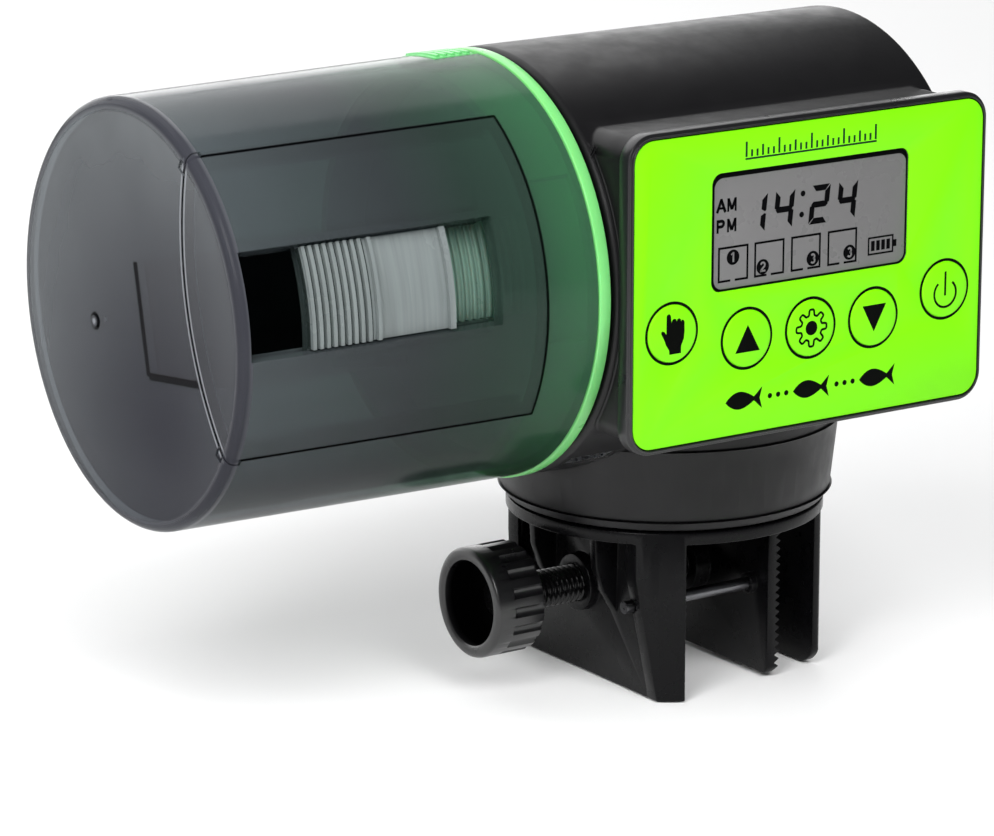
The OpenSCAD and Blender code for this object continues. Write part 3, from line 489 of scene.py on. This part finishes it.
def softened(node, width):
    """A CAD node's surface with its sharp edges rounded over."""
    bm = bmesh.new()
    bm.from_mesh(NODES[node].data)
    bmesh.ops.remove_doubles(bm, verts=bm.verts, dist=0.002 * MM)
    bmesh.ops.dissolve_limit(bm, angle_limit=math.radians(0.4), verts=bm.verts, edges=bm.edges)
    sharp = [e for e in bm.edges if len(e.link_faces) == 2 and e.calc_face_angle(0.0) > SHARP]
    tree = BVHTree.FromBMesh(bm)
    bmesh.ops.bevel(
        bm, geom=sharp, offset=width * MM, offset_type="OFFSET", segments=2,
        profile=0.5, affect="EDGES", clamp_overlap=False, harden_normals=False,
    )
    # A corner that the bevel threw outward goes back onto the surface
    for vert in bm.verts:
        spot, _, _, away = tree.find_nearest(vert.co)
        if away > 1.5 * width * MM:
            vert.co = spot
    return piece(node + "_form", bm, NODE_LOOK[node], node, replaces=True, angle=50.0)


def lathe(bm, profile, columns, radius):
    """Turns a closed (x, r) profile about the X axis; radius(x, r, angle) shapes it."""
    loops = []
    for i in range(columns):
        a = 2 * math.pi * i / columns
        row = []
        for x, r in profile:
            rr = radius(x, r, a)
            row.append(bm.verts.new((x * MM, rr * math.cos(a) * MM, rr * math.sin(a) * MM)))
        loops.append(row)
    for i in range(columns):
        one, two = loops[i], loops[(i + 1) % columns]
        for k in range(len(profile)):
            m = (k + 1) % len(profile)
            bm.faces.new((one[k], one[m], two[m], two[k]))


class Print:
    """Flat closed shapes standing a hair proud of a face that looks towards -Y."""

    SUNK = 0.03

    def __init__(self, x, z, face_y, proud=0.02):
        self.bm = bmesh.new()
        self.x, self.z = x, z
        self.levels = (face_y + self.SUNK, face_y - proud)

    def loop(self, points, level):
        y = self.levels[level] * MM
        return [self.bm.verts.new(((self.x + px) * MM, y, (self.z + pz) * MM)) for px, pz in points]

    def patch(self, points):
        back, front = self.loop(points, 0), self.loop(points, 1)
        self.bm.faces.new(back)
        self.bm.faces.new(front)
        self.wall(back, front)

    def wall(self, a, b):
        for i in range(len(a)):
            k = (i + 1) % len(a)
            self.bm.faces.new((a[i], a[k], b[k], b[i]))

    def ring(self, outer, inner):
        sides = [(self.loop(outer, level), self.loop(inner, level)) for level in (0, 1)]
        for out, hole in sides:
            self.wall(out, hole)
        self.wall(sides[0][0], sides[1][0])
        self.wall(sides[0][1], sides[1][1])

    def box(self, x0, z0, x1, z1):
        self.patch([(x0, z0), (x1, z0), (x1, z1), (x0, z1)])

    def disc(self, x, z, r, count=40):
        self.patch(round_path(x, z, r, 0, 360, count)[:-1])

    def bar(self, a, b, width):
        self.stroke([a, b], width)

    def stroke(self, path, width):
        left, right = [], []
        for i, p in enumerate(path):
            before = path[max(i - 1, 0)]
            after = path[min(i + 1, len(path) - 1)]
            dx, dz = after[0] - before[0], after[1] - before[1]
            size = math.hypot(dx, dz)
            nx, nz = -dz / size * width / 2, dx / size * width / 2
            left.append((p[0] + nx, p[1] + nz))
            right.append((p[0] - nx, p[1] - nz))
        self.patch(left + right[::-1])

    def done(self, name, look, node):
        return piece(name, self.bm, look, node)


def round_path(x, z, r, start, end, count):
    """Points on an arc, in degrees from +X towards +Z."""
    turns = [math.radians(start + (end - start) * i / count) for i in range(count + 1)]
    return [(x + r * math.cos(a), z + r * math.sin(a)) for a in turns]


# ---------- Stage, light and camera ----------


def area(name, size, place, target, power):
    light = bpy.data.lights.new(name, "AREA")
    light.shape = "RECTANGLE"
    light.size, light.size_y = size
    light.energy = power
    obj = bpy.data.objects.new(name, light)
    obj.location = place
    obj.rotation_euler = (Vector(target) - Vector(place)).to_track_quat("-Z", "Y").to_euler()
    bpy.context.scene.collection.objects.link(obj)
    return obj


def studio():
    scene = bpy.context.scene
    scene.view_settings.view_transform = "Standard"
    scene.cycles.use_denoising = True
    scene.cycles.transparent_max_bounces = 40
    world = bpy.data.worlds.new("studio")
    world.use_nodes = True
    sky = world.node_tree.nodes["Background"].inputs
    sky["Color"].default_value = (0.96, 0.98, 1.0, 1.0)
    sky["Strength"].default_value = 0.10
    scene.world = world

    bm = bmesh.new()
    floor_z = cad_bounds[0][2] - 0.0002
    bmesh.ops.create_grid(bm, x_segments=8, y_segments=8, size=4.0)
    mesh = bpy.data.meshes.new("floor")
    bm.to_mesh(mesh)
    bm.free()
    floor = bpy.data.objects.new("floor", mesh)
    floor.location = (0, 0, floor_z)
    scene.collection.objects.link(floor)
    s = Shader("floor_pale")
    tone = s.blend(s.noise(3.0), (0.90, 0.90, 0.90), (0.93, 0.93, 0.93))
    floor.data.materials.append(s.finish(s.add("BsdfPrincipled", Base_Color=tone, Roughness=0.8)))

    centre = (-0.02, 0.0, 0.04)
    area("top_box", (1.6, 1.0), (0.0, 0.8, 0.85), centre, 10.5)
    area("back_box", (3.2, 0.5), (0.1, 1.6, 0.32), centre, 13.5)
    area("key_box", (0.3, 0.4), (-0.75, -0.45, 0.5), centre, 3.0)
    # These light the floor and the matt colours without a reflection of their own
    area("fill_box", (0.5, 0.5), (-0.1, -0.75, 0.75), centre, 7.0).visible_glossy = False
    area("near_box", (0.2, 0.2), (-0.22, -0.12, 0.28), (-0.09, 0.0, 0.06), 1.0).visible_glossy = False


def camera():
    data = bpy.data.cameras.new("camera")
    data.sensor_width = 36.0
    data.lens = 166.3
    data.shift_x = -0.0218
    data.shift_y = -0.0146
    data.clip_start = 0.05
    obj = bpy.data.objects.new("camera", data)
    azimuth, elevation, roll = (math.radians(a) for a in (34.29, 14.6, 0.09))
    obj.location = (-0.4278, -0.5850, 0.2052)
    ahead = Vector((
        math.sin(azimuth) * math.cos(elevation),
        math.cos(azimuth) * math.cos(elevation),
        -math.sin(elevation),
    ))
    obj.rotation_euler = ahead.to_track_quat("-Z", "Y").to_euler()
    obj.rotation_euler.rotate_axis("Z", roll)
    bpy.context.scene.collection.objects.link(obj)
    bpy.context.scene.camera = obj


studio()
camera()

# ---------- Softened CAD pieces ----------

for soft_node, soft_width in {
    "main_housing": 0.35, "front_bezel": 0.22, "clamp_bracket": 0.22, "clamp_jaw": 0.12,
    "drum_collar": 0.2, "release_tab": 0.1, "end_cap": 0.25, "battery_cover": 0.15,
    "faceplate": 0.05, "lcd_glass": 0.15,
    "feed_button": 0.25, "up_button": 0.25, "set_button": 0.25, "down_button": 0.25,
    "power_button": 0.25,
}.items():
    softened(soft_node, soft_width)

# ---------- Clamp knob and screw ----------


def knob():
    flutes = 18
    flute_r, flute_at = 1.0, KNOB_R + 0.4
    flute_start = KNOB_X + 3.2

    def shape(x, r, a):
        if r < CUP_R + 0.1 or x < flute_start:
            return r
        half = math.pi / flutes
        off = abs((a + half) % (2 * half) - half)
        across = flute_at * math.sin(off)
        if across >= flute_r:
            return r
        floor = flute_at * math.cos(off) - math.sqrt(flute_r ** 2 - across ** 2)
        run = min(1.0, (x - flute_start) / 0.5)
        return min(r, KNOB_R + (floor - KNOB_R) * math.sin(run * math.pi / 2))

    profile = [
        (KNOB_END, SCREW_R), (CUP_FLOOR, SCREW_R), (CUP_FLOOR, CUP_R - 0.5),
        (CUP_FLOOR - 0.12, CUP_R - 0.15), (CUP_FLOOR - 0.5, CUP_R), (KNOB_X + 0.6, CUP_R),
        (KNOB_X + 0.25, CUP_R + 0.1), (KNOB_X, CUP_R + 0.55),
        (KNOB_X, KNOB_R - 0.75), (KNOB_X + 0.12, KNOB_R - 0.35), (KNOB_X + 0.35, KNOB_R - 0.12),
        (KNOB_X + 0.75, KNOB_R),
    ]
    profile += [(flute_start + 0.1 * k, KNOB_R) for k in range(7)]
    profile += [(KNOB_END - 0.5, KNOB_R), (KNOB_END - 0.15, KNOB_R - 0.15), (KNOB_END, KNOB_R - 0.5),
                (KNOB_END, SCREW_R + 1.5)]
    bm = bmesh.new()
    lathe(bm, profile, flutes * 14, shape)
    bmesh.ops.translate(bm, verts=bm.verts, vec=(0, 0, SCREW_Z * MM))
    piece("clamp_knob_form", bm, "knob", "clamp_knob", replaces=True, angle=40.0)


def screw():
    pitch, root, columns = 1.0, 2.55, 48
    thread_start, thread_end, tip = KNOB_END - 0.4, 2.9, 8.29
    groove = (7.1, 7.8)

    def thread(x, r, a):
        if x < thread_start or x > thread_end:
            return r
        wave = (x / pitch - a / (2 * math.pi)) % 1.0
        rise = min(1.0, max(0.0, 0.5 + 1.7 * (abs(wave - 0.5) - 0.25) / 0.5 * 1.2))
        fade = min(1.0, (x - thread_start) / 0.3, (thread_end - x) / 0.3)
        return r - (r - root) * rise * max(0.0, fade)

    xs = [CUP_FLOOR + 0.01, CUP_FLOOR + 0.2]
    count = int(round((thread_end - thread_start) / 0.125))
    xs += [thread_start + (thread_end - thread_start) * k / count for k in range(count + 1)]
    body = [(xs[0], SCREW_R - 0.2)] + [(x, SCREW_R) for x in xs[1:]]
    neck_r, core = 2.5, 0.4
    neck = [(thread_end, neck_r), (groove[0], neck_r), (groove[0], 2.0), (groove[1], 2.0),
            (groove[1], neck_r), (tip - 0.2, neck_r), (tip, neck_r - 0.2)]
    bm = bmesh.new()
    lathe(bm, [(xs[0], core)] + body + neck + [(tip, core)], columns, thread)
    # The narrow core left along the axis is closed by two caps
    inmost = [f for f in bm.faces
              if all(math.hypot(v.co.y, v.co.z) < (core + 0.1) * MM for v in f.verts)]
    bmesh.ops.delete(bm, geom=inmost, context="FACES_ONLY")
    rims = [e for e in bm.edges if e.is_boundary]
    bmesh.ops.holes_fill(bm, edges=rims, sides=0)
    bmesh.ops.translate(bm, verts=bm.verts, vec=(0, 0, SCREW_Z * MM))
    piece("clamp_screw_form", bm, "thread", "clamp_screw", replaces=True, angle=50.0)


knob()
screw()

# ---------- Display ----------

LCD = (0.5, 53.9)
LENS_Y = -36.7

# Segments of a digit, clockwise from the top, in a cell of CELL_W by CELL_H
CELL_W, CELL_H, BAR = 3.7, 6.1, 0.95
DIGIT = {"1": "bc", "2": "abged", "4": "fgbc"}


def segment(name):
    mid, end = CELL_H / 2, 0.14
    flat = [(end + 0.06, CELL_H), (CELL_W - end - 0.06, CELL_H), (CELL_W - BAR, CELL_H - BAR),
            (BAR, CELL_H - BAR)]
    side = [(0, CELL_H - end), (BAR, CELL_H - BAR - end), (BAR, mid + BAR / 2 + 0.05),
            (0.3 * BAR, mid + end), (0, mid + 2 * end)]
    flip_x, flip_z = name in "bc", name in "cde"
    if name == "g":
        inset = 0.62 * BAR
        return [(0.22, mid), (inset, mid + BAR / 2), (CELL_W - inset, mid + BAR / 2), (CELL_W - 0.22, mid),
                (CELL_W - inset, mid - BAR / 2), (inset, mid - BAR / 2)]
    points = flat if name in "ad" else side
    return [(CELL_W - x if flip_x else x, CELL_H - z if flip_z else z) for x, z in points]


def clock():
    """The time, in leaning seven-segment digits."""
    shear, base = 0.1, -0.9
    ink = Print(*LCD, LENS_Y)
    for glyph, left in (("1", -12.5), ("4", -7.2), ("2", -0.3), ("4", 5.1)):
        for name in DIGIT[glyph]:
            ink.patch([(left + x + shear * z, base + z) for x, z in segment(name)])
    for x, z in ((-1.4, 4.2), (-1.6, 0.9)):
        ink.disc(x, z, 0.45, 20)
    ink.done("clock_digits", "segment", "lcd_glass")


def lens_edge():
    """Shadow line round the sunk lens, broad above and on the left."""
    shade_line = Print(*LCD, LENS_Y, proud=0.01)
    half_w, half_h, r = 19.0, 9.1, 1.6
    paths = []
    for left, right, low, high in ((0, 0, 0, 0), (0.6, 0.12, 0.1, 0.7)):
        paths.append([])
        for sx, sz, start in ((1, 1, 0), (-1, 1, 90), (-1, -1, 180), (1, -1, 270)):
            x = (half_w - right - r) if sx > 0 else -(half_w - left - r)
            z = (half_h - high - r) if sz > 0 else -(half_h - low - r)
            paths[-1] += round_path(x, z, r, start, start + 90, 8)
    shade_line.ring(*paths)
    shade_line.done("lens_edge", "segment", "lcd_glass")


def half_day():
    """The letters AM over PM."""
    ink = Print(*LCD, LENS_Y)
    tall, line = 2.1, 0.48
    for z, first in ((3.05, "A"), (-0.15, "P")):
        x = -18.0
        if first == "A":
            ink.bar((x + 0.1, z), (x + 0.95, z + tall), line)
            ink.bar((x + 1.7, z), (x + 0.85, z + tall), line)
            ink.box(x + 0.4, z + 0.5, x + 1.4, z + 0.85)
        else:
            ink.box(x + 0.05, z, x + 0.45, z + tall)
            bowl = [(x + 0.3, z + tall - line / 2), (x + 0.9, z + tall - line / 2)]
            bowl += round_path(x + 0.95, z + 1.45, 0.44, 80, -80, 10)
            bowl += [(x + 0.9, z + 1.0), (x + 0.3, z + 1.0)]
            ink.stroke(bowl, line)
        m = x + 2.05
        ink.box(m, z, m + 0.36, z + tall)
        ink.box(m + 1.4, z, m + 1.76, z + tall)
        ink.bar((m + 0.2, z + tall - 0.1), (m + 0.88, z + 0.3), line)
        ink.bar((m + 1.56, z + tall - 0.1), (m + 0.88, z + 0.3), line)
    ink.done("half_day_marks", "segment", "lcd_glass")


def meals():
    """Four meal boxes, each with its portion mark, and the charge of the cells."""
    ink, knock = Print(*LCD, LENS_Y), Print(*LCD, LENS_Y, proud=0.04)
    wide, top, low, line = 5.8, -2.4, -7.95, 0.34
    for left in (-17.6, -10.65, -3.55, 3.6):
        ink.box(left, low, left + line, top)
        ink.box(left + wide - line, low, left + wide, top)
        ink.box(left + line, top - line, left + wide - line, top)
        for a, b in ((line, 2.4), (3.25, wide - line)):
            ink.box(left + a, low, left + b, low + line)
    thin = 0.3
    for x, z, digit in ((-14.74, -4.19, 1), (-8.99, -6.42, 2), (0.73, -6.33, 3), (7.94, -6.26, 3)):
        ink.disc(x, z, 1.2)
        if digit == 1:
            knock.stroke([(x - 0.35, z + 0.4), (x - 0.02, z + 0.7), (x + 0.02, z + 0.7)], 0.22)
            knock.box(x - 0.1, z - 0.75, x + 0.2, z + 0.8)
        if digit == 2:
            knock.stroke(round_path(x, z + 0.3, 0.38, 170, -40, 10) + [(x - 0.42, z - 0.62)], thin)
            knock.box(x - 0.5, z - 0.78, x + 0.5, z - 0.5)
        if digit == 3:
            knock.stroke(round_path(x, z + 0.33, 0.33, 150, -80, 10), thin)
            knock.stroke(round_path(x, z - 0.33, 0.36, 80, -150, 10), thin)
    left, right, low, high = 11.6, 16.7, -7.3, -4.4
    ink.ring(*([(left + rim, low + rim), (right - rim, low + rim), (right - rim, high - rim),
                (left + rim, high - rim)] for rim in (0.0, 0.28)))
    ink.box(right - 0.05, -6.4, right + 0.6, -5.3)
    for k in range(4):
        ink.box(left + 0.65 + k * 1.02, low + 0.65, left + 1.35 + k * 1.02, high - 0.65)
    ink.done("meal_marks", "segment", "lcd_glass")
    knock.done("meal_numbers", "lcd", "lcd_glass")


clock()
lens_edge()
half_day()
meals()

# ---------- Key marks ----------

KEY_Y = -37.5
FILM_Y = -37.2
KEY_X = (-26.1, -11.8, 0.6, 13.0, 27.3)
KEY_Z = (39.4, 36.7, 36.7, 36.7, 39.4)
HAND = (
    (-1.2, 0.0), (-1.2, 2.85), (-1.0, 3.15), (-0.62, 3.15), (-0.4, 2.85), (-0.28, 1.75), (-0.1, 2.2),
    (0.25, 2.35), (0.6, 2.2), (0.72, 1.85), (0.85, 2.2), (1.2, 2.3), (1.48, 2.1), (1.55, 1.75), (1.7, 2.0),
    (2.0, 1.95), (2.18, 1.6), (2.2, 0.2), (2.08, -1.0), (1.6, -2.0), (1.55, -3.2), (-0.6, -3.2),
    (-0.68, -2.5), (-1.3, -1.6), (-1.6, -0.8), (-2.15, 0.15), (-2.2, 0.5), (-1.9, 0.65), (-1.55, 0.45),
)


def key_rings():
    """A dark line printed on the film round each key."""
    for name, x, z in zip(("feed", "up", "set", "down", "power"), KEY_X, KEY_Z):
        line = Print(x, z, FILM_Y)
        line.ring(*(round_path(0, 0, r, 0, 360, 72)[:-1] for r in (4.98, 4.56)))
        line.done(name + "_ring", "ink", "faceplate")


def key_marks():
    """A hand, two arrows, a cog and a power sign on the five keys."""
    hand = Print(KEY_X[0], KEY_Z[0], KEY_Y)
    hand.patch(HAND)
    hand.done("feed_mark", "ink", "feed_button")

    for name, i, way in (("up", 1, 1), ("down", 3, -1)):
        arrow = Print(KEY_X[i], KEY_Z[i], KEY_Y)
        arrow.patch([(-2.35, -2.1 * way), (2.35, -2.1 * way), (0, 2.2 * way)])
        arrow.done(name + "_mark", "ink", name + "_button")

    lobes, line, count = 8, 0.36, 192
    turns = [2 * math.pi * i / count for i in range(count)]
    radii = [2.5 + 0.46 * math.tanh(2.6 * math.cos(lobes * a)) for a in turns]
    cog = Print(KEY_X[2], KEY_Z[2], KEY_Y)
    outline = []
    for grow in (line / 2, -line / 2):
        outline.append([])
        for i, (a, r) in enumerate(zip(turns, radii)):
            step = (radii[(i + 1) % count] - radii[i - 1]) / (4 * math.pi / count)
            size = math.hypot(r, step)
            ox = (r * math.cos(a) + step * math.sin(a)) / size
            oz = (r * math.sin(a) - step * math.cos(a)) / size
            outline[-1].append((r * math.cos(a) + grow * ox, r * math.sin(a) + grow * oz))
    cog.ring(*outline)
    cog.disc(0, 0, 1.15)
    cog.done("set_mark", "ink", "set_button")

    power = Print(KEY_X[4], KEY_Z[4], KEY_Y)
    power.stroke(round_path(0, -0.66, 2.2, 130, 410, 60), 0.38)
    power.box(-0.19, -1.0, 0.19, 2.9)
    power.done("power_mark", "ink", "power_button")


key_marks()
key_rings()

# ---------- Marks printed on the film ----------


def film_marks():
    """A row of hour ticks over the display and a row of fish and pellets under the keys."""
    hours = Print(*LCD, FILM_Y)
    first, run, low, half = -12.8, 25.1, 11.3, 0.19
    for hour in range(25):
        tall = 2.4 if hour % 6 == 0 else 1.7 if hour % 3 == 0 else 1.1
        x = first + hour * run / 24
        hours.box(x - half, low, x + half, low + tall)
    hours.box(-13.0, low - 0.45, 12.5, low - 0.15)
    hours.done("hour_scale", "ink_green", "faceplate")

    fish, row_z = Print(*LCD, FILM_Y), -27.0
    for middle in (-12.6, 0.5, 13.6):
        top = [(x, 1.45 * math.sin(math.pi * ((x + 3.6) / 6.0) ** 0.85))
               for x in (-3.6 + 0.5 * k for k in range(1, 12))]
        body = [(-3.6, 0.0)] + top
        tail = [(3.5, 1.75), (3.0, 0.0), (3.5, -1.75)]
        under = [(x, -0.95 * z) for x, z in reversed(top)]
        fish.patch([(middle + x, row_z + z) for x, z in body + tail + under])
    for middle in (-6.0, 7.1):
        for k in (-1, 0, 1):
            fish.disc(middle + 1.6 * k, row_z, 0.42, 20)
    fish.done("fish_marks", "ink", "faceplate")


film_marks()
